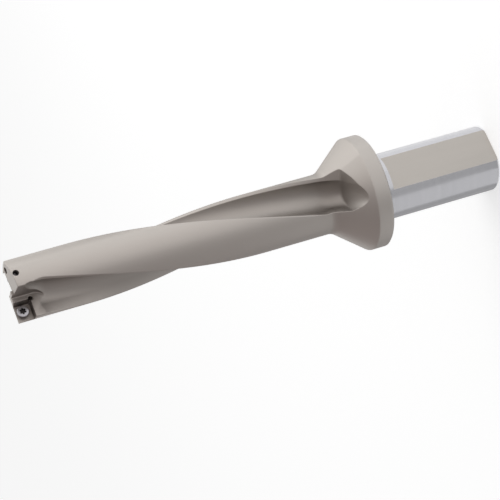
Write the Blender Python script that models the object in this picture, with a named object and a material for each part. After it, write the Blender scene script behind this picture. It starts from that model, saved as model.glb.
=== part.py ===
# Indexable drill, 30 mm class: one machined body with two empty insert
# pockets, and the two clamp screws that stay in them.
# The drill stands on its shank end. Z runs along its axis to the tip, and
# +X is the radial line of the outer insert. Lengths are in metres.

import bpy
import bmesh
from math import asin, atan2, ceil, cos, pi, radians, sin, sqrt, tan
from mathutils import Vector

# Shank
SHANK_DIAMETER = 0.032
SHANK_LENGTH = 0.0612
SHANK_CHAMFER = 0.0010
FLAT_DEPTH = 0.0025        # clamping flat, square to the outer seat's normal
FLAT_COLLAR = 0.0060       # round collar between the flat and the flange
INLET_DIAMETER = 0.010     # coolant bore up the shank
INLET_DEPTH = 0.046
INLET_CHAMFER = 0.0012
INLET_POINT = radians(59)  # half of the drill point at the bore's end

# Flange and the cone down to the fluted body
FLANGE_DIAMETER = 0.055
FLANGE_WIDTH = 0.0078
FLANGE_CHAMFER = 0.0008    # back edge
FLANGE_ROUND = 0.0012      # front edge, where the cone starts
CONE_ANGLE = radians(38.2)  # between the cone and the axis
CONE_FILLET = 0.007

# Fluted body
BODY_DIAMETER = 0.0292
REACH = 0.180              # from the flange's back face to the tip

# Flutes: a straight rake wall, a round gullet and a bevelled heel
FLUTE_LEAD = 0.390
FLUTE_OPENING = radians(80.5)
CORE_DIAMETER = 0.0072
HEEL_BEVEL = 0.0017
HEEL_BEVEL_TURN = radians(22)
FLUTE_ALIGN = 0.012        # behind the tip, where the rake wall meets the insert's line
FLUTE_STOP = 0.016         # behind the tip, where the gullet starts to rise
RUN_OUT_RADIUS = 0.0125
RUN_OUT_SLOPE = radians(68)
RUN_OUT_MARGIN = 0.0010    # between the cone's fillet and the start of the rise
SWING_RATE = radians(600)  # turn for each metre that the cutter has lifted
SWING_AFTER = 0.004

# Insert seats
INSERT_SIDE = 0.0098
INSERT_THICKNESS = 0.0040
INSERT_RELIEF = radians(11)
INSERT_OVERHANG = 0.0016   # how far a fitted insert would stand ahead of the tip
OUTER_ANGLE = 0.0
INNER_ANGLE = radians(174)
CUTTING_DIAMETER = 0.030   # across the outer insert's corner
INNER_PAST_AXIS = 0.0001   # how far the inner insert reaches past the axis
INNER_ALLOWANCE = 0.0005   # more room on that side of its seat
CORNER_RELIEF_DIAMETER = 0.0022
CORNER_RELIEF_SINK = 0.0003

# Chip room milled in front of each seat
ROOM_LENGTH = 0.0158
ROOM_CORNER = 0.0058
ROOM_DRAFT = radians(5.7)
OUTER_ROOM_WALL = 0.0027   # axis to the wall
INNER_ROOM_WALL = -0.0008

# Relief ground behind the cutting edges on the end face
INNER_LAND_RELIEF = radians(6.3)
INNER_LAND_TILT = radians(4.3)  # fall of that land from the seat's wall towards the axis
OUTER_LAND_RELIEF = radians(20)
LIP_RELIEF = radians(17)
LIP_CORNER = 0.0010        # width of the blunted corner at the lip's outer end
LIP_CORNER_SLOPE = radians(55)
LAND_STEP = 0.00005        # keeps the reliefs' side clear of the seats' floors

# Clamp screws, with a six-lobe socket
SCREW_DIAMETER = 0.0035
SCREW_GAP = 0.0003
SCREW_HEAD_DIAMETER = 0.0055
SCREW_RIM = 0.0008
SCREW_EDGE = 0.0002
SCREW_HEAD_LIFT = 0.0003   # foot of the head's cone above the seat
SCREW_REACH = 0.0044       # below the seat
SCREW_TIP_CHAMFER = 0.0004
SOCKET_DIAMETER = 0.0033
SOCKET_LOBE = 0.0003
SOCKET_DEPTH = 0.0013
TAP_EXIT_DIAMETER = 0.0029
TAP_RUN = 0.0003           # full thread past the screw's end
SCREW_PULL = 0.0004        # hole's offset to the wall, which draws the insert in
INNER_SCREW_LEAN = radians(7)  # towards the axis, so that the tap leaves by the near land

# Coolant ducts, which follow the lands
DUCT_DIAMETER = 0.0032
DUCT_STRAIGHT = 0.012      # behind the tip, where a duct stops following the twist
INNER_DUCT_RADIUS = 0.0110
INNER_DUCT_ANGLE = radians(134.3)
OUTER_DUCT_RADIUS = 0.0085
OUTER_DUCT_ANGLE = radians(298)
DUCT_INLET_RADIUS = 0.003  # where a duct opens in the end of the shank's bore
DUCT_OVERLAP = 0.002

# How finely round shapes are divided
TURN_STEPS = 72
GULLET_STEPS = 11
RUN_OUT_STEPS = 7
HELIX_STEP = radians(6.5)
HOLE_STEPS = 16
RELIEF_STEPS = 14
DUCT_STEPS = 10
SOCKET_STEPS = 36
CUT_MARGIN = 0.003         # how far a cutter passes the surface that it leaves by
SKIN_MARGIN = 0.0008       # the same, for the extra row that keeps a flute's edges smooth

shank_radius = SHANK_DIAMETER / 2
flange_radius = FLANGE_DIAMETER / 2
body_radius = BODY_DIAMETER / 2
core_radius = CORE_DIAMETER / 2
tip = SHANK_LENGTH + REACH
twist = 2 * pi / FLUTE_LEAD
cone_start = SHANK_LENGTH + FLANGE_WIDTH
cone_end = cone_start + (flange_radius - body_radius) / tan(CONE_ANGLE)
fillet_reach = CONE_FILLET * tan(CONE_ANGLE / 2)
cutter_reach = flange_radius + CUT_MARGIN
seat_rear = tip + INSERT_OVERHANG - INSERT_SIDE
outer_wall = CUTTING_DIAMETER / 2 - INSERT_SIDE
inner_wall = INSERT_SIDE - INNER_PAST_AXIS
inner_edge = -INNER_PAST_AXIS - INNER_ALLOWANCE


def clear_scene():
    for old in list(bpy.data.objects):
        bpy.data.objects.remove(old, do_unlink=True)


def finish(name, colour, roughness):
    material = bpy.data.materials.new(name)
    material.use_nodes = True
    shader = material.node_tree.nodes["Principled BSDF"]
    shader.inputs["Base Color"].default_value = (*colour, 1)
    shader.inputs["Roughness"].default_value = roughness
    shader.inputs["Metallic"].default_value = 1
    return material


def add_mesh(name, bm):
    """A mesh object from bm, with its faces turned outwards."""
    bmesh.ops.recalc_face_normals(bm, faces=bm.faces)
    mesh = bpy.data.meshes.new(name)
    bm.to_mesh(mesh)
    bm.free()
    obj = bpy.data.objects.new(name, mesh)
    bpy.context.collection.objects.link(obj)
    return obj


def loft(name, rings):
    """A closed solid through rings of equal length. A ring of one point closes an end."""
    bm = bmesh.new()
    loops = [[bm.verts.new(point) for point in ring] for ring in rings]
    for lower, upper in zip(loops, loops[1:]):
        count = max(len(lower), len(upper))
        for i in range(count):
            j = (i + 1) % count
            corners = [lower[i % len(lower)], lower[j % len(lower)]]
            corners += [upper[j % len(upper)], upper[i % len(upper)]]
            bm.faces.new(list(dict.fromkeys(corners)))
    for loop in (loops[0], loops[-1]):
        if len(loop) > 1:
            bm.faces.new(loop)
    bmesh.ops.triangulate(bm, faces=bm.faces)
    return add_mesh(name, bm)


def circle(radius, steps, centre=(0, 0), phase=0.0):
    turns = [2 * pi * i / steps + phase for i in range(steps)]
    return [(centre[0] + radius * cos(a), centre[1] + radius * sin(a)) for a in turns]


def arc(centre, radius, start, end, steps):
    turns = [start + (end - start) * i / steps for i in range(steps + 1)]
    return [(centre[0] + radius * cos(a), centre[1] + radius * sin(a)) for a in turns]


def turned(name, profile, steps, phase=0.0):
    """A solid of revolution about Z from (radius, height) points, axis to axis."""
    rings = []
    for radius, height in profile:
        ring = circle(radius, steps, phase=phase) if radius > 0 else [(0, 0)]
        rings.append([(x, y, height) for x, y in ring])
    return loft(name, rings)


def cut(target, cutter):
    """Takes cutter out of target, and keeps it in the scene as a wire guide."""
    cutter.hide_render = True
    cutter.display_type = "WIRE"
    boolean = target.modifiers.new(cutter.name, "BOOLEAN")
    boolean.operation = "DIFFERENCE"
    boolean.solver = "EXACT"
    boolean.object = cutter


class Frame:
    """Axes at one insert: s runs out along its radial line, h along its rake side's normal."""

    def __init__(self, angle):
        self.angle = angle
        self.s = Vector((cos(angle), sin(angle), 0))
        self.h = Vector((-sin(angle), cos(angle), 0))

    def point(self, s, h, z):
        return self.s * s + self.h * h + Vector((0, 0, z))


def blank():
    """The turned blank, from the coolant bore round to the tip."""
    bore = INLET_DIAMETER / 2
    round_reach = FLANGE_ROUND * tan(CONE_ANGLE / 2)
    round_centre = (flange_radius - FLANGE_ROUND, cone_start - round_reach)
    fillet_centre = (body_radius + CONE_FILLET, cone_end + fillet_reach)
    profile = [(0, INLET_DEPTH + bore / tan(INLET_POINT)), (bore, INLET_DEPTH)]
    profile += [(bore, INLET_CHAMFER), (bore + INLET_CHAMFER, 0)]
    profile += [(shank_radius - SHANK_CHAMFER, 0), (shank_radius, SHANK_CHAMFER)]
    profile += [(shank_radius, SHANK_LENGTH)]
    profile += [(flange_radius - FLANGE_CHAMFER, SHANK_LENGTH)]
    profile += [(flange_radius, SHANK_LENGTH + FLANGE_CHAMFER)]
    profile += arc(round_centre, FLANGE_ROUND, 0, CONE_ANGLE, 3)
    profile += arc(fillet_centre, CONE_FILLET, pi + CONE_ANGLE, pi, 6)
    profile += [(body_radius, tip), (0, tip)]
    return turned("drill_body", profile, TURN_STEPS, phase=pi / TURN_STEPS)


def flute_section():
    """One flute across the axis, with its middle on +X: heel bevel, gullet, rake wall."""
    half = FLUTE_OPENING / 2
    heel = Vector((body_radius * cos(half), body_radius * sin(half)))
    bevel = Vector((cos(half + HEEL_BEVEL_TURN), sin(half + HEEL_BEVEL_TURN)))
    ledge = heel - bevel * HEEL_BEVEL
    gullet = (ledge.length_squared - 2 * core_radius * ledge.x + core_radius ** 2)
    gullet /= 2 * (ledge.x - core_radius)
    centre = Vector((core_radius + gullet, 0))
    rake = Vector((heel.x, -heel.y))
    inward = centre - rake
    direction = atan2(inward.y, inward.x) + asin(gullet / inward.length)
    wall = Vector((cos(direction), sin(direction)))
    foot = rake + wall * sqrt(inward.length_squared - gullet ** 2)
    start = atan2(*reversed(ledge - centre))
    end = atan2(*reversed(foot - centre)) + 2 * pi
    points = [heel + bevel * reach for reach in (cutter_reach, SKIN_MARGIN)]
    points += arc(centre, gullet, start, end, GULLET_STEPS)
    points += [rake - wall * reach for reach in (SKIN_MARGIN, cutter_reach)]
    return points


def run_out(start, way, lift_needed):
    """(height, lift) pairs as the cutter leaves the work along an arc and then a line."""
    path = []
    for i in range(1, RUN_OUT_STEPS + 1):
        turn = RUN_OUT_SLOPE * i / RUN_OUT_STEPS
        lift = RUN_OUT_RADIUS * (1 - cos(turn))
        path.append((start + way * RUN_OUT_RADIUS * sin(turn), lift))
    height, lift = path[-1]
    rest = max(lift_needed - lift, CUT_MARGIN)
    for i in range(1, 4):
        rise = rest * i / 3
        path.append((height + way * rise / tan(RUN_OUT_SLOPE), lift + rise))
    return path


def flute_cutter(name, frame):
    low = cone_end + fillet_reach + RUN_OUT_MARGIN
    high = tip - FLUTE_STOP
    steps = ceil((high - low) * twist / HELIX_STEP)
    path = run_out(low, -1, flange_radius - core_radius + CUT_MARGIN)[::-1]
    path += [(low + (high - low) * i / steps, 0) for i in range(steps + 1)]
    path += run_out(high, 1, body_radius - core_radius + CUT_MARGIN)
    section = flute_section()
    rings = []
    for height, lift in path:
        turn = frame.angle + FLUTE_OPENING / 2 + twist * (height - tip + FLUTE_ALIGN)
        if height < low:
            turn -= SWING_RATE * max(lift - SWING_AFTER, 0)
        across = Frame(turn)
        rings.append([across.point(x + lift, y, height) for x, y in section])
    return loft(name, rings)


def room_cutter(name, frame, wall):
    """The end-milled chip room in front of a seat, with its floor on the rake plane."""
    top = tip + CUT_MARGIN * 2
    end = tip - ROOM_LENGTH
    depth = body_radius + CUT_MARGIN
    centre = (wall + ROOM_CORNER, end + ROOM_CORNER)
    rings = []
    for height in (0, depth):
        radius = ROOM_CORNER - height * tan(ROOM_DRAFT)
        outline = [(centre[0] - radius, top)]
        outline += arc(centre, radius, pi, 3 * pi / 2, 6)
        outline += [(cutter_reach, centre[1] - radius), (cutter_reach, top)]
        rings.append([frame.point(s, height, z) for s, z in outline])
    return loft(name, rings)


def seat_cutter(name, frame, near, far, near_draft, far_draft):
    """A pocket from s = near to s = far, with walls that lean as the insert's sides do."""
    top = tip + CUT_MARGIN * 2
    rings = []
    for height in (-INSERT_THICKNESS, CUT_MARGIN):
        low = near - height * tan(near_draft)
        high = far + height * tan(far_draft)
        rear = seat_rear - height * tan(INSERT_RELIEF)
        outline = [(low, top), (low, rear), (high, rear), (high, top)]
        rings.append([frame.point(s, height, z) for s, z in outline])
    return loft(name, rings)


def drilled(name, start, end, radius, steps=HOLE_STEPS):
    """A round cutter between two points."""
    axis = (end - start).normalized()
    side = axis.orthogonal().normalized()
    other = axis.cross(side)
    ring = circle(radius, steps)
    rings = [[centre + side * x + other * y for x, y in ring] for centre in (start, end)]
    return loft(name, rings)


def land_relief_cutter(name, frame, slope, tilt, high):
    """The land behind a seat: it falls to the heel, and with a tilt also from s = high."""
    reach = body_radius + CUT_MARGIN
    start = LAND_STEP - INSERT_THICKNESS
    rings = []
    for s in (-reach, reach):
        edge = tip + (s - high) * tan(tilt)
        outline = [(start, edge + LAND_STEP * tan(slope))]
        outline += [(-reach, edge - (reach - INSERT_THICKNESS) * tan(slope))]
        outline += [(-reach, tip + CUT_MARGIN), (start, tip + CUT_MARGIN)]
        rings.append([frame.point(s, h, z) for h, z in outline])
    return loft(name, rings)


def lip_relief_cutter(frame):
    """The lip outside the inner seat, sloped back to a blunted corner at the surface."""
    reach = body_radius + CUT_MARGIN
    fall = tan(LIP_RELIEF)
    near = inner_wall - CUT_MARGIN
    corner = body_radius - LIP_CORNER
    corner_height = tip - (corner - inner_wall) * fall
    outline = [(near, tip + CUT_MARGIN * fall), (corner, corner_height)]
    outline += [(reach, corner_height - (reach - corner) * tan(LIP_CORNER_SLOPE))]
    outline += [(reach, tip + CUT_MARGIN * 2), (near, tip + CUT_MARGIN * 2)]
    rings = [[frame.point(s, h, z) for s, z in outline] for h in (-reach, reach)]
    return loft("lip_relief", rings)


def flat_cutter():
    """The clamping flat: a milled slab off the shank's side."""
    floor = shank_radius - FLAT_DEPTH
    reach = shank_radius + CUT_MARGIN
    outline = [(-reach, -CUT_MARGIN), (reach, -CUT_MARGIN)]
    outline += [(reach, SHANK_LENGTH - FLAT_COLLAR), (-reach, SHANK_LENGTH - FLAT_COLLAR)]
    rings = [[(x, y, z) for x, z in outline] for y in (floor, reach)]
    return loft("clamping_flat_cutter", rings)


def duct_cutter(name, radius, angle):
    """A coolant duct: it follows its land's twist and closes in on the shank's bore."""
    top = tip + CUT_MARGIN
    bottom = INLET_DEPTH - DUCT_OVERLAP
    steps = ceil((top - bottom) * twist / HELIX_STEP)
    rings = []
    for i in range(steps + 1):
        height = bottom + (top - bottom) * i / steps
        share = min(max((height - bottom) / (cone_end - bottom), 0), 1)
        blend = share * share * (3 - 2 * share)
        out = DUCT_INLET_RADIUS + (radius - DUCT_INLET_RADIUS) * blend
        across = Frame(angle + twist * min(height - tip + DUCT_STRAIGHT, 0))
        ring = circle(DUCT_DIAMETER / 2, DUCT_STEPS)
        rings.append([across.point(out + x, y, height) for x, y in ring])
    return loft(name, rings)


def screw_axis(frame, place, lean):
    """The point where a screw's axis meets its seat, and the way into the body."""
    height = seat_rear + INSERT_SIDE / 2
    seat = frame.point(place, -INSERT_THICKNESS, height)
    way = -frame.h * cos(lean) - frame.s * sin(lean)
    return seat, way


def screw_hole_cutters(name, seat, way):
    clearance = SCREW_DIAMETER / 2
    deep = SCREW_REACH + TAP_RUN
    far = body_radius + CUT_MARGIN
    yield drilled(name + "_tap", seat - way * CUT_MARGIN, seat + way * deep, clearance)
    start = seat + way * (deep - SCREW_GAP)
    yield drilled(name + "_exit", start, seat + way * far, TAP_EXIT_DIAMETER / 2)


def clamp_screw(name, seat, way):
    """A countersunk screw with a six-lobe socket, down in its hole."""
    shank = SCREW_DIAMETER / 2 - SCREW_GAP
    head = SCREW_HEAD_DIAMETER / 2
    under = SCREW_HEAD_LIFT + head - shank
    top = under + SCREW_RIM
    profile = [(0, -SCREW_REACH), (shank - SCREW_TIP_CHAMFER, -SCREW_REACH)]
    profile += [(shank, SCREW_TIP_CHAMFER - SCREW_REACH), (shank, SCREW_HEAD_LIFT)]
    profile += [(head, under), (head, top - SCREW_EDGE), (head - SCREW_EDGE, top)]
    rings = []
    for radius, height in profile:
        ring = circle(radius, SOCKET_STEPS) if radius > 0 else [(0, 0)]
        rings.append([(x, y, height) for x, y in ring])
    turns = [2 * pi * i / SOCKET_STEPS for i in range(SOCKET_STEPS)]
    middle = SOCKET_DIAMETER / 2 - SOCKET_LOBE
    lobes = [(a, middle + SOCKET_LOBE * cos(6 * a)) for a in turns]
    for height in (top, top - SOCKET_DEPTH):
        rings.append([(out * cos(a), out * sin(a), height) for a, out in lobes])
    rings.append([(0, 0, top - SOCKET_DEPTH)])
    screw = loft(name, rings)
    screw.rotation_mode = "QUATERNION"
    screw.rotation_quaternion = Vector((0, 0, 1)).rotation_difference(-way)
    screw.location = seat
    return screw


def build():
    clear_scene()
    outer = Frame(OUTER_ANGLE)
    inner = Frame(INNER_ANGLE)
    outer_screw = screw_axis(outer, outer_wall + INSERT_SIDE / 2 - SCREW_PULL, 0)
    inner_place = inner_wall - INSERT_SIDE / 2 + SCREW_PULL
    inner_screw = screw_axis(inner, inner_place, INNER_SCREW_LEAN)

    body = blank()
    cut(body, flat_cutter())
    cut(body, flute_cutter("outer_flute", outer))
    cut(body, flute_cutter("inner_flute", inner))
    cut(body, room_cutter("outer_chip_room", outer, OUTER_ROOM_WALL))
    cut(body, room_cutter("inner_chip_room", inner, INNER_ROOM_WALL))
    cut(body, seat_cutter("outer_seat", outer, outer_wall, cutter_reach, INSERT_RELIEF, 0))
    cut(body, seat_cutter("inner_seat", inner, inner_edge, inner_wall, 0, INSERT_RELIEF))
    for frame, wall, name in ((outer, outer_wall, "outer"), (inner, inner_wall, "inner")):
        deep = INSERT_THICKNESS + CORNER_RELIEF_SINK
        foot = frame.point(wall, -deep, seat_rear)
        relief = drilled(name + "_corner_relief", foot, foot + frame.h * (deep + CUT_MARGIN),
                         CORNER_RELIEF_DIAMETER / 2, RELIEF_STEPS)
        cut(body, relief)
    cut(body, land_relief_cutter("outer_land_relief", outer, OUTER_LAND_RELIEF, 0, 0))
    cut(body, land_relief_cutter("inner_land_relief", inner, INNER_LAND_RELIEF,
                                 INNER_LAND_TILT, inner_wall))
    cut(body, lip_relief_cutter(inner))
    cut(body, duct_cutter("inner_duct", INNER_DUCT_RADIUS, INNER_DUCT_ANGLE))
    cut(body, duct_cutter("outer_duct", OUTER_DUCT_RADIUS, OUTER_DUCT_ANGLE))
    for name, (seat, way) in (("outer", outer_screw), ("inner", inner_screw)):
        for cutter in screw_hole_cutters(name + "_hole", seat, way):
            cut(body, cutter)

    steel = finish("nickel_plated_steel", (0.55, 0.53, 0.50), 0.34)
    bright = finish("bright_screw_steel", (0.62, 0.62, 0.64), 0.22)
    screws = [clamp_screw("outer_clamp_screw", *outer_screw)]
    screws += [clamp_screw("inner_clamp_screw", *inner_screw)]
    for obj, material in ((body, steel), (screws[0], bright), (screws[1], bright)):
        obj.data.materials.append(material)
        obj.data.shade_smooth()
        obj.data.set_sharp_from_angle(angle=radians(30))


build()
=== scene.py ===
from math import acos, asin, atan2, ceil, cos, pi, radians, sin, sqrt, tan

import bpy
from mathutils import Matrix, Vector


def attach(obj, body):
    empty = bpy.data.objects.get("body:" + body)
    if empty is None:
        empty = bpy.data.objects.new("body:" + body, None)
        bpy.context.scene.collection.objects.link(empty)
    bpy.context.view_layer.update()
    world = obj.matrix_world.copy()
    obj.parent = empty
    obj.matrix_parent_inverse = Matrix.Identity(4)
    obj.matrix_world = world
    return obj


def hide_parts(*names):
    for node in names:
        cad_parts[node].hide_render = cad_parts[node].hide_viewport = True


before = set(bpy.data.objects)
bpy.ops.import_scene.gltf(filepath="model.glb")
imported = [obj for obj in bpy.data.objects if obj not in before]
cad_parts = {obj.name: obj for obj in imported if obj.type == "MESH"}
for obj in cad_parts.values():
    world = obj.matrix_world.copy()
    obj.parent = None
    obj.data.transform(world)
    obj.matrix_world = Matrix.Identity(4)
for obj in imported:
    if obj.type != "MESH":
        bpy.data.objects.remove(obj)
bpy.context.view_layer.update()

mm = 0.001  # every size below is written in millimetres
past = 3  # how far a cutter passes the surface that it leaves by
hair = 0.02  # a margin for rounding
weld = 0.002  # nearer points are merged


# Small helpers for working by hand in edit mode

def clearSelection():
    if bpy.context.mode != "OBJECT":
        bpy.ops.object.mode_set(mode="OBJECT")
    bpy.ops.object.select_all(action="DESELECT")


def pick(obj):
    clearSelection()
    obj.select_set(True)
    bpy.context.view_layer.objects.active = obj


def editAll(obj):
    pick(obj)
    bpy.ops.object.mode_set(mode="EDIT")
    bpy.ops.mesh.select_mode(type="VERT")
    bpy.ops.mesh.select_all(action="SELECT")


def turnOut(obj):
    editAll(obj)
    bpy.ops.mesh.normals_make_consistent(inside=False)
    bpy.ops.object.mode_set(mode="OBJECT")


def chain(name, points):  # one vertex, extruded from point to point
    clearSelection()
    bpy.ops.mesh.primitive_plane_add(size=mm)
    obj = bpy.context.object
    obj.name = name
    bpy.ops.object.mode_set(mode="EDIT")
    bpy.ops.mesh.select_mode(type="VERT")
    bpy.ops.mesh.merge(type="CENTER")
    spots = [Vector(p) * mm for p in points]
    bpy.ops.transform.translate(value=spots[0])
    for here, there in zip(spots, spots[1:]):
        bpy.ops.mesh.extrude_vertices_move(TRANSFORM_OT_translate={"value": there - here})
    return obj


def plate(name, points):  # a filled outline, left in edit mode with its face selected
    obj = chain(name, points)
    bpy.ops.mesh.select_all(action="SELECT")
    bpy.ops.mesh.edge_face_add()
    return obj


def extrude(x, y, z):
    bpy.ops.mesh.extrude_region_move(TRANSFORM_OT_translate={"value": Vector((x, y, z)) * mm})


def turnSelected(angle):  # with no window, transform.rotate turns the other way
    bpy.ops.transform.rotate(value=-angle, orient_axis="Z", center_override=(0, 0, 0))


def arc(centre, radius, start, end, steps):
    turns = [start + (end - start) * i / steps for i in range(steps + 1)]
    return [(centre[0] + radius * cos(a), centre[1] + radius * sin(a)) for a in turns]


def placeAt(obj, angle):  # from the outer insert's axes to another insert's
    pick(obj)
    obj.rotation_euler = (0, 0, angle)
    bpy.ops.object.transform_apply(location=False, rotation=True, scale=False)


def spun(name, profile, steps):  # a closed (radius, height) profile, turned about the axis
    chain(name, [(r, 0, z) for r, z in profile])
    bpy.ops.mesh.select_all(action="SELECT")
    bpy.ops.mesh.spin(steps=steps, angle=2 * pi, center=(0, 0, 0), axis=(0, 0, 1))
    obj = bpy.context.object
    bpy.ops.mesh.select_all(action="SELECT")
    bpy.ops.mesh.remove_doubles(threshold=weld * mm)
    bpy.ops.mesh.normals_make_consistent(inside=False)
    bpy.ops.object.mode_set(mode="OBJECT")
    return obj


def bore(name, start, end, radius, sides=48):  # a round cutter between two points
    start, end = Vector(start), Vector(end)
    way = end - start
    turn = Vector((0, 0, 1)).rotation_difference(way).to_euler()
    clearSelection()
    bpy.ops.mesh.primitive_cylinder_add(vertices=sides, radius=radius * mm,
                                        depth=way.length * mm,
                                        location=(start + end) / 2 * mm, rotation=turn)
    obj = bpy.context.object
    obj.name = name
    bpy.ops.object.transform_apply(location=True, rotation=True, scale=True)
    return obj


def box(name, low, high):
    low, high = Vector(low), Vector(high)
    clearSelection()
    bpy.ops.mesh.primitive_cube_add(size=1, location=(low + high) / 2 * mm,
                                    scale=(high - low) * mm)
    obj = bpy.context.object
    obj.name = name
    bpy.ops.object.transform_apply(location=True, rotation=True, scale=True)
    return obj


def carve(obj, cutters, name):  # one Boolean takes all the cutters out, and they go
    group = bpy.data.collections.new(name)
    for cutter in cutters:
        group.objects.link(cutter)
    pick(obj)
    cut = obj.modifiers.new(name, "BOOLEAN")
    cut.operation = "DIFFERENCE"
    cut.solver = "EXACT"
    cut.operand_type = "COLLECTION"
    cut.collection = group
    bpy.ops.object.modifier_apply(modifier=name)
    clearSelection()
    for cutter in cutters:
        cutter.select_set(True)
    bpy.ops.object.delete()
    bpy.data.collections.remove(group)


# Shank, flange and the turned body

shank = {"radius": 16, "length": 61.2, "chamfer": 1.0, "undercut": 0.3, "undercutWidth": 0.9,
         "bore": 5, "boreDepth": 46, "boreChamfer": 1.2, "drillPoint": radians(59),
         "flatHeight": 13.5, "flatEnd": 55.2, "flatToolHalf": 20, "flatToolLow": -4}
flange = {"radius": 27.5, "width": 7.8, "backChamfer": 0.8, "frontRound": 1.2,
          "coneAngle": radians(38.2), "coneFillet": 7, "roundSteps": 6, "filletSteps": 12}
body = {"radius": 14.6, "tip": 241.2, "segments": 288}

coneStart = shank["length"] + flange["width"]
coneEnd = coneStart + (flange["radius"] - body["radius"]) / tan(flange["coneAngle"])
filletReach = flange["coneFillet"] * tan(flange["coneAngle"] / 2)


def turnBlank():
    big, small, back = flange["radius"], shank["radius"], shank["length"]
    hole, nip, cone = shank["bore"], shank["undercut"], flange["coneAngle"]
    roundAt = (big - flange["frontRound"], coneStart - flange["frontRound"] * tan(cone / 2))
    filletAt = (body["radius"] + flange["coneFillet"], coneEnd + filletReach)
    profile = [(0, shank["boreDepth"] + hole / tan(shank["drillPoint"]))]
    profile += [(hole, shank["boreDepth"]), (hole, shank["boreChamfer"])]
    profile += [(hole + shank["boreChamfer"], 0), (small - shank["chamfer"], 0)]
    profile += arc((small - shank["chamfer"], shank["chamfer"]), shank["chamfer"],
                   -pi / 3, -pi / 6, 2)
    profile += [(small, shank["chamfer"]), (small, back - shank["undercutWidth"])]
    profile += [(small - nip, back - shank["undercutWidth"] + nip), (small - nip, back)]
    profile += [(big - flange["backChamfer"], back), (big, back + flange["backChamfer"])]
    profile += arc(roundAt, flange["frontRound"], 0, cone, flange["roundSteps"])
    profile += arc(filletAt, flange["coneFillet"], pi + cone, pi, flange["filletSteps"])
    profile += [(body["radius"], body["tip"]), (0, body["tip"])]
    return spun("drillBody", profile, body["segments"])


# Flutes: a straight rake wall, a round gullet and a bevelled heel

flute = {"lead": 390, "opening": radians(80.5), "core": 3.6, "bevel": 1.7,
         "bevelTurn": radians(22), "align": 12, "stop": 16, "runOutRadius": 12.5,
         "runOutSlope": radians(68), "margin": 1.0, "swing": radians(0.6), "swingAfter": 4,
         "reach": 31, "skin": 0.8, "gulletSteps": 44, "arcSteps": 22, "leaveSteps": 6,
         "stepLength": 1.3}
# towards the flange a gentle rise, a tight bend and a steep wall with a rounded end, where the
# heel's bevel widens and the rake wall moves in
runOut = {"firstRadius": 12, "gentle": radians(30), "gentleRun": 3.5, "bendRadius": 3,
          "wall": radians(69), "steps": 14, "gentleSteps": 3, "shapedAbove": 3,
          "bevelGrowth": 0.385, "bevelMost": 8.4, "bevelOutFrom": 8, "bevelOut": 0.32,
          "roundFrom": 1.2, "roundTo": 6, "depthAxis": 18, "rakeAxis": 11, "rakeShare": 27,
          "offset": 0.3, "offsetGrowth": 0.045, "rakeIn": 1.1, "rakeInFrom": 2.2,
          "rakeInOver": 5.5, "heelSteps": 26}
twist = 2 * pi / flute["lead"]


def gulletRadius(ledge):  # of the round that starts at the core and ends at the heel's ledge
    core = flute["core"]
    return (ledge.length_squared - 2 * core * ledge.x + core ** 2) / (2 * (ledge.x - core))


def fluteOutline():
    half = flute["opening"] / 2
    heel = Vector((cos(half), sin(half))) * body["radius"]
    bevel = Vector((cos(half + flute["bevelTurn"]), sin(half + flute["bevelTurn"])))
    ledge = heel - bevel * flute["bevel"]
    gullet = gulletRadius(ledge)
    centre = Vector((flute["core"] + gullet, 0))
    rake = Vector((heel.x, -heel.y))
    inward = centre - rake
    slant = atan2(inward.y, inward.x) + asin(gullet / inward.length)
    wall = Vector((cos(slant), sin(slant)))
    foot = rake + wall * sqrt(inward.length_squared - gullet ** 2)
    start = atan2(ledge.y - centre.y, ledge.x - centre.x)
    end = atan2(foot.y - centre.y, foot.x - centre.x) + 2 * pi
    points = [heel + bevel * flute["reach"], heel + bevel * flute["skin"], heel]
    points += arc(centre, gullet, start, end, flute["gulletSteps"])
    points += [rake, rake - wall * flute["skin"], rake - wall * flute["reach"]]
    return points


def leaving(start, lift):  # (height, lift) pairs where the tool leaves the work near the tip
    path = []
    for i in range(1, flute["arcSteps"] + 1):
        turn = flute["runOutSlope"] * i / flute["arcSteps"]
        rise = flute["runOutRadius"] * (1 - cos(turn))
        path.append((start + flute["runOutRadius"] * sin(turn), rise))
    height, done = path[-1]
    rest, count = max(lift - done, past), flute["leaveSteps"]
    for i in range(1, count + 1):
        rise = rest * i / count
        path.append((height + rise / tan(flute["runOutSlope"]), done + rise))
    return path


def rising(start, lift):  # the same at the flange, where it leaves in three moves
    first, bend, count = runOut["firstRadius"], runOut["bendRadius"], runOut["steps"]
    gentle, wall = runOut["gentle"], runOut["wall"]
    path = []
    for i in range(1, count + 1):
        turn = gentle * i / count
        path.append((start - first * sin(turn), first * (1 - cos(turn))))
    height, done = path[-1]
    for i in range(1, runOut["gentleSteps"] + 1):
        run = runOut["gentleRun"] * i / runOut["gentleSteps"]
        path.append((height - run, done + run * tan(gentle)))
    height, done = path[-1]
    for i in range(1, count + 1):
        turn = gentle + (wall - gentle) * i / count
        path.append((height - bend * (sin(turn) - sin(gentle)),
                     done + bend * (cos(gentle) - cos(turn))))
    height, done = path[-1]
    for i in range(1, count + 1):
        rise = (lift - done) * i / count
        path.append((height - rise / tan(wall), done + rise))
    return path


def ease(share):
    share = min(max(share, 0), 1)
    return share * share * (3 - 2 * share)


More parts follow.
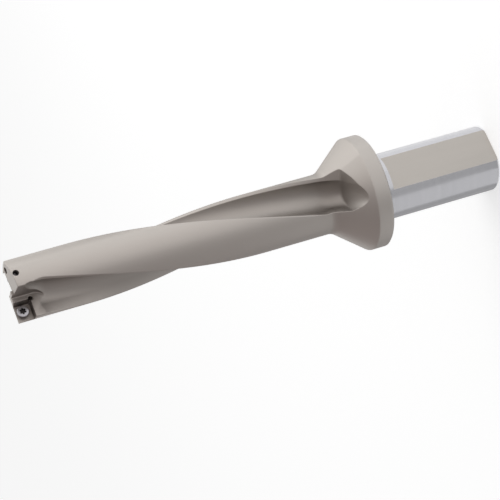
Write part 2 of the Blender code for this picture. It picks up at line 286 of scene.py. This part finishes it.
def runOutOutline(height, lift, low):  # the same points as the plain outline, in their order
    plain = [Vector(p) for p in fluteOutline()]
    heel, rake, foot = plain[2], plain[-3], plain[-4]
    bevel = (plain[0] - heel).normalized()
    core, gullet = flute["core"], gulletRadius(plain[3])
    share = ease((lift - runOut["roundFrom"]) / (runOut["roundTo"] - runOut["roundFrom"]))
    outward = Vector((0, runOut["bevelOut"] * max(lift - runOut["bevelOutFrom"], 0)))
    width = min(flute["bevel"] + runOut["bevelGrowth"] * lift, runOut["bevelMost"])
    ledge = heel + outward - bevel * width
    offset = share * (runOut["offset"] + runOut["offsetGrowth"] * lift)
    deep = gullet + (runOut["depthAxis"] - gullet) * share
    ratio = 1 - (ledge.x - core) / deep
    heelAxis = (ledge.y - offset) / sqrt(1 - ratio ** 2)
    rakeAxis = runOut["rakeAxis"] * sqrt(1 - (lift / runOut["rakeShare"]) ** 2)
    inward = ease((low + runOut["rakeInFrom"] - height) / runOut["rakeInOver"])
    inward *= runOut["rakeIn"]
    points = [point + outward for point in plain[:3]]
    for i in range(runOut["heelSteps"]):
        angle = acos(ratio) * (1 - i / runOut["heelSteps"])
        points.append(Vector((core + deep * (1 - cos(angle)), offset + heelAxis * sin(angle))))
    # the rake side goes from its plain wall to a rounded end, at the same depths
    rest, wide = flute["gulletSteps"] - runOut["heelSteps"], runOut["depthAxis"]
    ends = asin(-foot.y / gullet), pi / 2
    depths = [gullet * (1 - cos(ends[0] * i / rest)) * (1 - share)
              + wide * (1 - cos(ends[1] * i / rest)) * share for i in range(rest + 1)]
    depths.append((rake.x - core) * (1 - share) + (wide + past) * share)
    for depth in depths:
        above = depth - (foot.x - core)
        straight = foot.y + above * (rake.y - foot.y) / (rake.x - foot.x)
        curved = -gullet * sqrt(1 - (1 - min(depth / gullet, 1)) ** 2)
        wall = (straight if above > 0 else curved) + inward * min(depth / (foot.x - core), 1)
        end = offset - rakeAxis * sqrt(1 - (1 - min(depth / wide, 1)) ** 2)
        points.append(Vector((core + depth, wall * (1 - share) + end * share)))
    corner = points[-1]
    way = (rake - foot).normalized().lerp(Vector((1, 0)), share).normalized()
    return points + [corner + way * flute["skin"], corner + way * flute["reach"]]


def shapeRunOut(tool, stations, low):  # moves each ring near the flange onto its own outline
    plain = [Vector(p) for p in fluteOutline()]
    rings = {round(height, 2): (lift, turn, runOutOutline(height, lift, low))
             for height, lift, turn in stations}
    for vertex in tool.data.vertices:
        ring = rings.get(round(vertex.co.z / mm, 2))
        if ring:
            lift, turn, outline = ring
            here = Matrix.Rotation(-turn, 2) @ (vertex.co.xy / mm) - Vector((lift, 0))
            index = min(range(len(plain)), key=lambda i: (here - plain[i]).length)
            spot = outline[index] + Vector((lift, 0))
            vertex.co.xy = Matrix.Rotation(turn, 2) @ spot * mm


def fluteTool(name, insertAngle):
    low = coneEnd + filletReach + flute["margin"]
    high = body["tip"] - flute["stop"]
    steps = ceil((high - low) / flute["stepLength"])
    path = rising(low, flange["radius"] - flute["core"] + past)[::-1]
    path += [(low + (high - low) * i / steps, 0) for i in range(steps + 1)]
    path += leaving(high, body["radius"] - flute["core"] + past)
    stations = []
    for height, lift in path:
        turn = insertAngle + flute["opening"] / 2
        turn += twist * (height - body["tip"] + flute["align"])
        if height < low:
            turn -= flute["swing"] * max(lift - flute["swingAfter"], 0)
        stations.append((height, lift, turn))
    height, lift, turn = stations[0]
    outline = fluteOutline()
    tool = plate(name, [(x + lift, y, height) for x, y in outline])
    turnSelected(turn)
    for before, after in zip(stations, stations[1:]):
        grow = after[1] - before[1]
        aim = before[2]
        extrude(grow * cos(aim), grow * sin(aim), after[0] - before[0])
        turnSelected(after[2] - before[2])
    bpy.ops.object.mode_set(mode="OBJECT")
    top = low + runOut["shapedAbove"]
    shapeRunOut(tool, [station for station in stations if station[0] < top], low)
    turnOut(tool)
    return tool


edgeBreak = {"size": 0.32, "clear": 1.0, "lean": 1.5, "fade": 4, "intoRoom": 1}


def edgeTool(name, insertAngle):  # breaks the sharp edge where a rake wall meets the skin
    half = flute["opening"] / 2
    rake = Vector((cos(half), -sin(half))) * body["radius"]
    foot = fluteOutline()[-4]
    wall = (Vector(foot) - rake).normalized()
    away = Vector((-sin(half), -cos(half)))
    size, clear = edgeBreak["size"], edgeBreak["clear"]
    inner, outer = rake + wall * size, rake + away * size
    slant = (inner - outer) * 0.5
    out = rake.normalized()
    outline = [inner + slant, outer - slant, outer - slant + out * clear,
               inner + slant + out * clear * edgeBreak["lean"]]
    low = coneEnd + filletReach + flute["margin"] + runOut["rakeInFrom"]
    high = body["tip"] - room["length"] + edgeBreak["intoRoom"]
    steps = ceil((high - low) / flute["stepLength"])
    turns = []
    for i in range(steps + 1):
        height = low + (high - low) * i / steps
        turn = insertAngle + half + twist * (height - body["tip"] + flute["align"])
        turns.append((height, max(1 - (height - low) / edgeBreak["fade"], 0) * clear, turn))
    height, lift, turn = turns[0]
    tool = plate(name, [(p.x + out.x * lift, p.y + out.y * lift, height) for p in outline])
    turnSelected(turn)
    for before, after in zip(turns, turns[1:]):
        grow = after[1] - before[1]
        way = Matrix.Rotation(before[2], 2) @ out * grow
        extrude(way.x, way.y, after[0] - before[0])
        turnSelected(after[2] - before[2])
    turnOut(tool)
    return tool


# Insert seats, the chip rooms in front of them and the relief behind the cutting edges

insert = {"side": 9.8, "thick": 4, "relief": radians(11), "overhang": 1.6,
          "outerAngle": 0, "innerAngle": radians(174), "outerWall": 5.2, "innerWall": 9.7,
          "innerEdge": -0.6, "cornerRelief": 1.1, "reliefSink": 0.3, "reliefSides": 40}
room = {"length": 15.8, "corner": 5.8, "draft": radians(5.7), "outerWall": 2.7,
        "innerWall": -0.8, "depth": 17.6, "rootRadius": 0.7, "cornerSteps": 18, "rootSteps": 5}
landRelief = {"outer": radians(20), "inner": radians(6.3), "innerTilt": radians(4.3),
              "lip": radians(17), "lipCorner": 1.0, "cornerSlope": radians(55), "step": 0.05}
seatRear = body["tip"] + insert["overhang"] - insert["side"]


def roomTool(name, angle, wall):
    end = body["tip"] - room["length"]
    centre = (wall + room["corner"], end + room["corner"])
    outline = [(wall, body["tip"] + 2 * past)]
    outline += arc(centre, room["corner"], pi, 3 * pi / 2, room["cornerSteps"])
    outline += [(flute["reach"], end), (flute["reach"], body["tip"] + 2 * past)]
    tool = plate(name, [(s, 0, z) for s, z in outline])
    extrude(0, room["depth"], 0)
    small = 1 - room["depth"] * tan(room["draft"]) / room["corner"]
    middle = Vector((centre[0], room["depth"], centre[1])) * mm
    bpy.ops.transform.resize(value=(small, 1, small), center_override=middle)
    # the wall's foot gets the radius of the end mill
    bpy.ops.mesh.select_all(action="DESELECT")
    bpy.ops.mesh.select_mode(type="EDGE")
    bpy.ops.object.mode_set(mode="OBJECT")
    mesh = tool.data
    for edge in mesh.edges:
        a, b = (mesh.vertices[i].co / mm for i in edge.vertices)
        onFloor = max(abs(a.y), abs(b.y)) < hair
        inWork = max(a.x, b.x) < flute["reach"] - past and min(a.z, b.z) < body["tip"]
        edge.select = onFloor and inWork
    bpy.ops.object.mode_set(mode="EDIT")
    bpy.ops.mesh.bevel(offset=room["rootRadius"] * mm, segments=room["rootSteps"])
    turnOut(tool)
    placeAt(tool, angle)
    return tool


def seatTool(name, angle, near, far, nearLean, farLean):
    tool = box(name, (near, -insert["thick"], seatRear), (far, past, body["tip"] + 2 * past))
    for vertex in tool.data.vertices:  # the walls lean as the insert's sides do
        s, h, z = vertex.co / mm
        s += -h * tan(nearLean) if s < (near + far) / 2 else h * tan(farLean)
        z += -h * tan(insert["relief"]) if z < body["tip"] else 0
        vertex.co = Vector((s, h, z)) * mm
    placeAt(tool, angle)
    return tool


def reliefTool(name, angle, slope, tilt, high):
    start, reach = landRelief["step"] - insert["thick"], body["radius"] + past
    low = body["tip"] - (reach - insert["thick"]) * tan(slope)
    outline = [(start, body["tip"] + landRelief["step"] * tan(slope)), (-reach, low)]
    outline += [(-reach, body["tip"] + past), (start, body["tip"] + past)]
    tool = plate(name, [(-reach, h, z) for h, z in outline])
    extrude(2 * reach, 0, 0)
    turnOut(tool)
    for vertex in tool.data.vertices:  # the land also falls towards the axis
        if vertex.co.z < (body["tip"] + past / 2) * mm:
            vertex.co.z += (vertex.co.x - high * mm) * tan(tilt)
    placeAt(tool, angle)
    return tool


def lipTool(name, angle):
    reach, near = body["radius"] + past, insert["innerWall"] - past
    fall = tan(landRelief["lip"])
    corner = body["radius"] - landRelief["lipCorner"]
    cornerHeight = body["tip"] - (corner - insert["innerWall"]) * fall
    outline = [(near, body["tip"] + past * fall), (corner, cornerHeight)]
    outline += [(reach, cornerHeight - (reach - corner) * tan(landRelief["cornerSlope"]))]
    outline += [(reach, body["tip"] + 2 * past), (near, body["tip"] + 2 * past)]
    tool = plate(name, [(s, -reach, z) for s, z in outline])
    extrude(0, 2 * reach, 0)
    turnOut(tool)
    placeAt(tool, angle)
    return tool


# Coolant ducts

duct = {"radius": 1.6, "straight": 12, "innerOut": 11, "innerAngle": radians(134.3),
        "outerOut": 8.5, "outerAngle": radians(298), "inletOut": 3, "overlap": 2,
        "steps": 110, "sides": 28}


def ductTool(name, out, angle):
    top, bottom = body["tip"] + past, shank["boreDepth"] - duct["overlap"]
    stations = []
    for i in range(duct["steps"] + 1):
        height = bottom + (top - bottom) * i / duct["steps"]
        share = ease((height - bottom) / (coneEnd - bottom))
        away = duct["inletOut"] + (out - duct["inletOut"]) * share
        turn = angle + twist * min(height - body["tip"] + duct["straight"], 0)
        stations.append((height, away, turn))
    height, away, turn = stations[0]
    clearSelection()
    bpy.ops.mesh.primitive_circle_add(vertices=duct["sides"], radius=duct["radius"] * mm,
                                      fill_type="NGON", location=(away * mm, 0, height * mm))
    tool = bpy.context.object
    tool.name = name
    bpy.ops.object.transform_apply(location=True, rotation=True, scale=True)
    editAll(tool)
    turnSelected(turn)
    for before, after in zip(stations, stations[1:]):
        grow = after[1] - before[1]
        extrude(grow * cos(before[2]), grow * sin(before[2]), after[0] - before[0])
        turnSelected(after[2] - before[2])
    turnOut(tool)
    return tool


# Clamp screws and their tapped holes

screw = {"shank": 1.45, "hole": 1.75, "exit": 1.45, "head": 2.75, "rim": 0.8, "edge": 0.25,
         "lift": 0.3, "reach": 4.4, "tapRun": 0.3, "tipChamfer": 0.4, "socket": 1.62,
         "lobe": 0.42, "socketDepth": 1.3, "pull": 0.4, "innerLean": radians(7),
         "pitch": 0.6, "threadDepth": 0.28, "crest": 0.08, "flank": 0.3, "neck": 0.05,
         "headChamfer": 0.1, "edgeSteps": 4, "sides": 64, "lobes": 6, "lobeSides": 24}


def insertAxes(angle):
    return Vector((cos(angle), sin(angle), 0)), Vector((-sin(angle), cos(angle), 0))


def screwLine(angle, place, lean):  # where the screw's axis meets the seat, and its way in
    s, h = insertAxes(angle)
    seat = s * place - h * insert["thick"] + Vector((0, 0, seatRear + insert["side"] / 2))
    return seat, -h * cos(lean) - s * sin(lean)


outerScrewLine = screwLine(insert["outerAngle"],
                           insert["outerWall"] + insert["side"] / 2 - screw["pull"], 0)
innerScrewLine = screwLine(insert["innerAngle"],
                           insert["innerWall"] - insert["side"] / 2 + screw["pull"],
                           screw["innerLean"])


def makeBody():
    blank = turnBlank()
    print("stage: turned blank", len(blank.data.polygons))
    outer, inner = insert["outerAngle"], insert["innerAngle"]
    reach, half = body["radius"] + past, shank["flatToolHalf"]
    cutters = [box("flatTool", (-half, shank["flatHeight"], shank["flatToolLow"]),
                   (half, half, shank["flatEnd"]))]
    cutters += [fluteTool("outerFluteTool", outer), fluteTool("innerFluteTool", inner)]
    print("stage: flute tools")
    cutters += [roomTool("outerRoomTool", outer, room["outerWall"]),
                roomTool("innerRoomTool", inner, room["innerWall"])]
    cutters += [seatTool("outerSeatTool", outer, insert["outerWall"], flute["reach"],
                         insert["relief"], 0),
                seatTool("innerSeatTool", inner, insert["innerEdge"], insert["innerWall"],
                         0, insert["relief"])]
    for angle, wall, side in ((outer, insert["outerWall"], "outer"),
                              (inner, insert["innerWall"], "inner")):
        s, h = insertAxes(angle)
        foot = s * wall + Vector((0, 0, seatRear))
        deep = insert["thick"] + insert["reliefSink"]
        cutters.append(bore(side + "CornerTool", foot - h * deep, foot + h * past,
                            insert["cornerRelief"], insert["reliefSides"]))
    cutters += [reliefTool("outerReliefTool", outer, landRelief["outer"], 0, 0),
                reliefTool("innerReliefTool", inner, landRelief["inner"],
                           landRelief["innerTilt"], insert["innerWall"]),
                lipTool("lipTool", inner)]
    cutters += [edgeTool("outerEdgeTool", outer), edgeTool("innerEdgeTool", inner)]
    cutters += [ductTool("innerDuctTool", duct["innerOut"], duct["innerAngle"]),
                ductTool("outerDuctTool", duct["outerOut"], duct["outerAngle"])]
    for side, (seat, way) in (("outer", outerScrewLine), ("inner", innerScrewLine)):
        deep = screw["reach"] + screw["tapRun"]
        cutters += [bore(side + "TapTool", seat - way * past, seat + way * deep, screw["hole"]),
                    bore(side + "ExitTool", seat + way * (deep - screw["tapRun"]),
                         seat + way * reach, screw["exit"])]
    print("stage: all tools")
    carve(blank, cutters, "machining")
    print("stage: machined", len(blank.data.polygons))
    return blank


drillBody = makeBody()


def makeScrew(name, seat, way):
    shankRadius, head, lift = screw["shank"], screw["head"], screw["lift"]
    under = lift + head - shankRadius
    top = under + screw["rim"]
    edge, nip = screw["edge"], screw["headChamfer"]
    profile = [(0, -screw["reach"]), (shankRadius - screw["tipChamfer"], -screw["reach"])]
    z = screw["tipChamfer"] - screw["reach"]
    root = shankRadius - screw["threadDepth"]
    while z < lift - screw["pitch"]:  # thread crests and roots
        profile += [(shankRadius, z), (shankRadius, z + screw["crest"])]
        profile.append((root, z + screw["flank"]))
        z += screw["pitch"]
    profile += [(root, lift - screw["neck"]), (shankRadius, lift)]
    profile += [(head - nip, under - nip), (head, under + nip)]
    profile += arc((head - edge, top - edge), edge, 0, pi / 2, screw["edgeSteps"])
    profile.append((0, top))
    piece = spun(name, profile, screw["sides"])
    floor, middle = top - screw["socketDepth"], screw["socket"] - screw["lobe"]
    tools = [bore("socketTool", (0, 0, floor), (0, 0, top + 1), middle)]
    for i in range(screw["lobes"]):
        turn = 2 * pi * i / screw["lobes"]
        x, y = middle * cos(turn), middle * sin(turn)
        tools.append(bore("lobeTool", (x, y, floor), (x, y, top + 1), screw["lobe"],
                          screw["lobeSides"]))
    carve(piece, tools, "socket")
    pick(piece)
    piece.matrix_world = (Matrix.Translation(seat * mm)
                          @ Vector((0, 0, 1)).rotation_difference(-way).to_matrix().to_4x4())
    bpy.ops.object.transform_apply(location=True, rotation=True, scale=True)
    return piece


outerScrew = makeScrew("outerClampScrew", *outerScrewLine)
innerScrew = makeScrew("innerClampScrew", *innerScrewLine)
print("stage: screws")


# Finishes

def socketOf(group, name, way, kind="NodeSocketFloat", value=None):
    made = group.interface.new_socket(name, in_out=way, socket_type=kind)
    if value is not None:
        made.default_value = value
    return made


def buildGrain():  # soft mottling and a fine blasted skin, from the place on the piece
    group = bpy.data.node_groups.new("plateGrain", "ShaderNodeTree")
    socketOf(group, "Position", "INPUT", "NodeSocketVector")
    socketOf(group, "Mottle size", "INPUT", value=60.0)
    socketOf(group, "Skin size", "INPUT", value=1800.0)
    socketOf(group, "Mottle", "OUTPUT")
    socketOf(group, "Skin", "OUTPUT")
    nodes, links = group.nodes, group.links
    entry, leave = nodes.new("NodeGroupInput"), nodes.new("NodeGroupOutput")
    for size, out, detail in (("Mottle size", "Mottle", 3), ("Skin size", "Skin", 2)):
        noise = nodes.new("ShaderNodeTexNoise")
        noise.inputs["Detail"].default_value = detail
        links.new(entry.outputs["Position"], noise.inputs["Vector"])
        links.new(entry.outputs[size], noise.inputs["Scale"])
        links.new(noise.outputs["Fac"], leave.inputs[out])
    return group


plateGrain = buildGrain()


def newFinish(name):
    material = bpy.data.materials.new(name)
    material.use_nodes = True
    tree = material.node_tree
    shader = tree.nodes["Principled BSDF"]
    shader.inputs["Metallic"].default_value = 1
    place = tree.nodes.new("ShaderNodeTexCoord")
    return material, tree.nodes, tree.links, shader, place


def spread(nodes, links, source, low, high):  # a 0-1 mask made to run from low to high
    node = nodes.new("ShaderNodeMapRange")
    node.inputs["To Min"].default_value = low
    node.inputs["To Max"].default_value = high
    node.inputs["From Min"].default_value = 0.3
    node.inputs["From Max"].default_value = 0.7
    links.new(source, node.inputs["Value"])
    return node.outputs["Result"]


def blend(nodes, links, mask, first, second):
    node = nodes.new("ShaderNodeMix")
    node.data_type = "RGBA"
    node.inputs["A"].default_value = (*first, 1)
    node.inputs["B"].default_value = (*second, 1)
    links.new(mask, node.inputs["Factor"])
    return node.outputs["Result"]


def addGrain(nodes, links, source, mottle, skin):
    grain = nodes.new("ShaderNodeGroup")
    grain.node_tree = plateGrain
    grain.inputs["Mottle size"].default_value = mottle
    grain.inputs["Skin size"].default_value = skin
    links.new(source, grain.inputs["Position"])
    return grain


def addBump(nodes, links, shader, height, strength):
    bump = nodes.new("ShaderNodeBump")
    bump.inputs["Strength"].default_value = strength
    bump.inputs["Distance"].default_value = 0.1 * mm
    links.new(height, bump.inputs["Height"])
    links.new(bump.outputs["Normal"], shader.inputs["Normal"])
    return bump


# the last five values set a painted shade: the colour is darkened where ambient occlusion finds
# hollows
nickel = {"light": (0.52, 0.492, 0.465), "dark": (0.49, 0.462, 0.436), "roughLow": 0.45,
          "roughHigh": 0.51, "bump": 0.06, "mottle": 45, "skin": 2600, "edge": 0.6,
          "edgeSamples": 8, "paintedShade": 18, "paintedShadeSamples": 16, "paintedShadeFrom": 0.3,
          "paintedShadeTo": 1.0, "paintedShadeTone": (0.45, 0.43, 0.422)}


def nickelFinish():
    material, nodes, links, shader, place = newFinish("satinNickel")
    grain = addGrain(nodes, links, place.outputs["Object"], nickel["mottle"], nickel["skin"])
    coat = blend(nodes, links, grain.outputs["Mottle"], nickel["dark"], nickel["light"])
    # painted shade: deep recesses, such as the flutes' bottoms and the seats' corners, get a
    # darker colour wherever ambient occlusion finds hollows
    paintedShade = nodes.new("ShaderNodeAmbientOcclusion")
    paintedShade.samples = nickel["paintedShadeSamples"]
    paintedShade.inputs["Distance"].default_value = nickel["paintedShade"] * mm
    depth = nodes.new("ShaderNodeMapRange")
    depth.inputs["From Min"].default_value = nickel["paintedShadeFrom"]
    depth.inputs["From Max"].default_value = nickel["paintedShadeTo"]
    links.new(paintedShade.outputs["AO"], depth.inputs["Value"])
    paintedShadeMultiply = nodes.new("ShaderNodeMix")
    paintedShadeMultiply.data_type = "RGBA"
    paintedShadeMultiply.blend_type = "MULTIPLY"
    paintedShadeMultiply.inputs["Factor"].default_value = 1
    links.new(coat, paintedShadeMultiply.inputs["A"])
    links.new(blend(nodes, links, depth.outputs["Result"], nickel["paintedShadeTone"], (1, 1, 1)),
              paintedShadeMultiply.inputs["B"])
    links.new(paintedShadeMultiply.outputs["Result"], shader.inputs["Base Color"])
    links.new(spread(nodes, links, grain.outputs["Mottle"], nickel["roughLow"],
                     nickel["roughHigh"]), shader.inputs["Roughness"])
    bump = addBump(nodes, links, shader, grain.outputs["Skin"], nickel["bump"])
    edge = nodes.new("ShaderNodeBevel")  # the tumbled edges catch a thin line of light
    edge.samples = nickel["edgeSamples"]
    edge.inputs["Radius"].default_value = nickel["edge"] * mm
    links.new(edge.outputs["Normal"], bump.inputs["Normal"])
    return material


ground = {"light": (0.62, 0.62, 0.645), "dark": (0.56, 0.56, 0.585), "roughLow": 0.2,
          "roughHigh": 0.27, "lines": 5200, "bump": 0.04}


def linedFinish(name, values, stretch):  # fine lines left by grinding or milling
    material, nodes, links, shader, place = newFinish(name)
    mapping = nodes.new("ShaderNodeMapping")
    mapping.inputs["Scale"].default_value = stretch
    links.new(place.outputs["Object"], mapping.inputs["Vector"])
    grain = addGrain(nodes, links, mapping.outputs["Vector"], values["lines"] / 20,
                     values["lines"])
    links.new(blend(nodes, links, grain.outputs["Mottle"], values["dark"], values["light"]),
              shader.inputs["Base Color"])
    links.new(spread(nodes, links, grain.outputs["Skin"], values["roughLow"],
                     values["roughHigh"]), shader.inputs["Roughness"])
    addBump(nodes, links, shader, grain.outputs["Skin"], values["bump"])
    return material


milled = {"light": (0.52, 0.49, 0.457), "dark": (0.47, 0.443, 0.413), "roughLow": 0.36,
          "roughHigh": 0.44, "lines": 2600, "bump": 0.05}
bright = {"light": (0.5, 0.5, 0.53), "dark": (0.4, 0.4, 0.43), "roughLow": 0.18,
          "roughHigh": 0.26, "lines": 4000, "bump": 0.03}
# a near-black finish for the screws' socket faces, a painted shade for the dark deep in the
# socket
paintedSocketShadeValues = {"light": (0.07, 0.066, 0.066), "dark": (0.035, 0.033, 0.033), "roughLow": 0.35,
             "roughHigh": 0.5, "lines": 3000, "bump": 0.05}

smoothUnder = radians(28)
satinNickel = nickelFinish()
groundSteel = linedFinish("groundSteel", ground, (0.05, 0.05, 1))
milledFlat = linedFinish("milledFlat", milled, (1, 1, 0.04))
screwSteel = linedFinish("screwSteel", bright, (1, 1, 1))
paintedSocketShade = linedFinish("paintedSocketShade", paintedSocketShadeValues, (1, 1, 1))


def finishBody():
    mesh = drillBody.data
    for material in (satinNickel, groundSteel, milledFlat):
        mesh.materials.append(material)
    for face in mesh.polygons:
        centre = face.center / mm
        inBore = centre.xy.length < shank["bore"] + shank["boreChamfer"]
        if centre.z > shank["length"] - hair or inBore:
            continue
        onFlat = face.normal.y > 1 - hair and centre.y < shank["flatHeight"] + hair
        face.material_index = 2 if onFlat else 1
    pick(drillBody)
    bpy.ops.object.shade_smooth_by_angle(angle=smoothUnder)


def finishScrew(piece, seat, way):
    piece.data.materials.append(screwSteel)
    piece.data.materials.append(paintedSocketShade)
    top = screw["lift"] + screw["head"] - screw["shank"] + screw["rim"]
    for face in piece.data.polygons:
        offset = face.center / mm - seat
        height = -offset.dot(way)
        inSocket = (offset + way * height).length < screw["socket"] + hair
        # painted shade: faces inside the socket get the near-black finish
        if inSocket and top - screw["socketDepth"] - hair < height < top - hair:
            face.material_index = 1
    pick(piece)
    bpy.ops.object.shade_smooth_by_angle(angle=smoothUnder)


finishBody()
finishScrew(outerScrew, *outerScrewLine)
finishScrew(innerScrew, *innerScrewLine)
print("stage: finishes")

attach(drillBody, "root")
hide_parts("drill_body")
for piece, node in ((outerScrew, "outer_clamp_screw"), (innerScrew, "inner_clamp_screw")):
    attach(piece, "root")
    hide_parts(node)


# Studio: floor, flags, lamps, background and camera

studio = {"floorSize": 6000, "floorColour": (0.9, 0.9, 0.9), "floorGlow": 0.42,
          "ambient": 0.55, "camera": (347.6, 829.7, 384.9),
          "right": (0.35612, 0.14206, -0.92358), "up": (-0.86228, 0.43081, -0.26622),
          "back": (0.36007, 0.89119, 0.27591), "lens": 143.85, "sensor": 36}

# flags seen only in the metal: on the floor, each between the lines that two places on the
# shank's skin mirror to, near it for the shank, farther out for the body and beyond that for
# the flutes' heel walls, and a dome that is open towards the end face
flags = {"floorHeight": 0.6, "nearEdge": 290, "farEdge": 950, "lastEdge": 2900,
         "viewAngle": radians(68), "lineSteps": 10,
         "near": ((-40, -16, 0.8), (-16, 10, 0.46), (10, 43.5, 0.76), (43.5, 60, 0.52),
                  (60, 92, 0.92)),
         "far": ((-60, -22, 0.36), (-22, 12, 0.42), (12, 42, 0.46), (42, 66, 0.52),
                 (66, 100, 1.12)),
         "beyond": ((12, 42, 0.34), (42, 64, 0.4)),
         "farTint": (1, 0.965, 0.955), "domeRadius": 900, "domeSteps": 72,
         "domeSectors": ((-75, -10, (0.4, 0.355, 0.347)), (-10, 45, (0.33, 0.296, 0.289)),
                         (45, 82, (0.46, 0.43, 0.422)), (82, 130, (0.93, 0.893, 0.872)),
                         (130, 230, (0.96, 0.943, 0.926))),
         "domeOver": radians(65), "domeTop": (0.43, 0.395, 0.388)}

topBox = {"place": (-1000, 300, 420), "aim": (0, 0, 130), "size": 1100, "watts": 5}


def whiteForView(nodes, links):  # 1 for camera, mirror and glass rays
    path = nodes.new("ShaderNodeLightPath")
    first = nodes.new("ShaderNodeMath")
    first.operation = "MAXIMUM"
    links.new(path.outputs["Is Camera Ray"], first.inputs[0])
    links.new(path.outputs["Is Glossy Ray"], first.inputs[1])
    second = nodes.new("ShaderNodeMath")
    second.operation = "MAXIMUM"
    links.new(first.outputs[0], second.inputs[0])
    links.new(path.outputs["Is Transmission Ray"], second.inputs[1])
    return second.outputs[0]


def makeFloor():
    clearSelection()
    bpy.ops.mesh.primitive_plane_add(size=studio["floorSize"] * mm)
    floor = bpy.context.object
    floor.name = "studioFloor"
    material = bpy.data.materials.new("paleFloor")
    material.use_nodes = True
    nodes, links = material.node_tree.nodes, material.node_tree.links
    shader = nodes["Principled BSDF"]
    shader.inputs["Base Color"].default_value = (*studio["floorColour"], 1)
    shader.inputs["Roughness"].default_value = 0.9
    shader.inputs["Specular IOR Level"].default_value = 0
    glow = nodes.new("ShaderNodeEmission")
    glow.inputs["Strength"].default_value = studio["floorGlow"]
    adding = nodes.new("ShaderNodeAddShader")
    mixing = nodes.new("ShaderNodeMixShader")
    links.new(shader.outputs["BSDF"], adding.inputs[0])
    links.new(glow.outputs["Emission"], adding.inputs[1])
    links.new(whiteForView(nodes, links), mixing.inputs["Fac"])
    links.new(shader.outputs["BSDF"], mixing.inputs[1])
    links.new(adding.outputs["Shader"], mixing.inputs[2])
    links.new(mixing.outputs["Shader"], nodes["Material Output"].inputs["Surface"])
    floor.data.materials.append(material)


def makeWorld():
    world = bpy.data.worlds.new("studioWorld")
    bpy.context.scene.world = world
    world.use_nodes = True
    nodes, links = world.node_tree.nodes, world.node_tree.links
    soft = nodes["Background"]
    soft.inputs["Color"].default_value = (1, 1, 1, 1)
    soft.inputs["Strength"].default_value = studio["ambient"]
    white = nodes.new("ShaderNodeBackground")
    white.inputs["Color"].default_value = (1, 1, 1, 1)
    mixing = nodes.new("ShaderNodeMixShader")
    links.new(whiteForView(nodes, links), mixing.inputs["Fac"])
    links.new(soft.outputs["Background"], mixing.inputs[1])
    links.new(white.outputs["Background"], mixing.inputs[2])
    links.new(mixing.outputs["Shader"], nodes["World Output"].inputs["Surface"])


def softLamp(name, values):
    clearSelection()
    place, aim = Vector(values["place"]) * mm, Vector(values["aim"]) * mm
    turn = (place - aim).to_track_quat("Z", "Y").to_euler()
    bpy.ops.object.light_add(type="AREA", location=place, rotation=turn)
    lamp = bpy.context.object
    lamp.name = name
    lamp.data.shape = "SQUARE"
    lamp.data.size = values["size"] * mm
    lamp.data.energy = values["watts"]


def flagPaint(card, grey):
    card.visible_camera = False
    card.visible_shadow = False
    card.visible_diffuse = False
    material = bpy.data.materials.new(card.name + "Paint")
    material.use_nodes = True
    nodes, links = material.node_tree.nodes, material.node_tree.links
    glow = nodes.new("ShaderNodeEmission")
    glow.inputs["Color"].default_value = (*grey, 1)
    links.new(glow.outputs["Emission"], nodes["Material Output"].inputs["Surface"])
    card.data.materials.append(material)


def mirrorLine(spot, away):  # where a place on the skin sees the floor, that far out
    way = 2 * spot - flags["viewAngle"]
    return (shank["radius"] * cos(spot) + away * cos(way),
            shank["radius"] * sin(spot) + away * sin(way))


def domePart(name, grey, start, end, low, high):  # the rest of a sphere is deleted
    clearSelection()
    bpy.ops.mesh.primitive_uv_sphere_add(segments=flags["domeSteps"],
                                         ring_count=flags["domeSteps"] // 2,
                                         radius=flags["domeRadius"] * mm)
    dome = bpy.context.object
    dome.name = name
    bpy.ops.object.mode_set(mode="EDIT")
    bpy.ops.mesh.select_mode(type="FACE")
    bpy.ops.mesh.select_all(action="DESELECT")
    bpy.ops.object.mode_set(mode="OBJECT")
    for face in dome.data.polygons:
        azimuth = atan2(face.center.y, face.center.x)
        height = asin(face.center.z / face.center.length)
        inside = start < azimuth < end or start < azimuth + 2 * pi < end
        face.select = not (inside and low < height < high)
    bpy.ops.object.mode_set(mode="EDIT")
    bpy.ops.mesh.delete(type="FACE")
    bpy.ops.object.mode_set(mode="OBJECT")
    flagPaint(dome, grey)


def makeFlags():
    for ring, inner, outer in (("near", 0, flags["nearEdge"]),
                               ("far", flags["nearEdge"], flags["farEdge"]),
                               ("beyond", flags["farEdge"], flags["lastEdge"])):
        for number, (start, end, grey) in enumerate(flags[ring]):
            count = flags["lineSteps"]
            spots = [radians(start + (end - start) * i / count) for i in range(count + 1)]
            points = [mirrorLine(a, outer) for a in spots]
            points += [mirrorLine(a, inner) for a in reversed(spots)]
            name = ring + "Flag%d" % number
            plate(name, [(x, y, flags["floorHeight"]) for x, y in points])
            bpy.ops.object.mode_set(mode="OBJECT")
            tint = (1, 1, 1) if ring == "near" else flags["farTint"]
            flagPaint(bpy.context.object, [grey * part for part in tint])
    for number, (start, end, grey) in enumerate(flags["domeSectors"]):
        domePart("domeFlag%d" % number, grey, radians(start), radians(end), 0,
                 flags["domeOver"])
    domePart("domeTop", flags["domeTop"], -2 * pi, 2 * pi, flags["domeOver"], pi / 2)


def makeCamera():
    data = bpy.data.cameras.new("photoCamera")
    camera = bpy.data.objects.new("photoCamera", data)
    bpy.context.collection.objects.link(camera)
    axes = [Vector(studio[k]) for k in ("right", "up", "back")]
    turn = Matrix([[axis[i] for axis in axes] for i in range(3)]).to_4x4()
    camera.matrix_world = Matrix.Translation(Vector(studio["camera"]) * mm) @ turn
    data.lens = studio["lens"]
    data.sensor_width = studio["sensor"]
    data.clip_end = 20
    bpy.context.scene.camera = camera


makeFloor()
makeWorld()
makeFlags()
softLamp("topBox", topBox)
makeCamera()
bpy.context.scene.view_settings.view_transform = "Standard"
print("stage: studio")
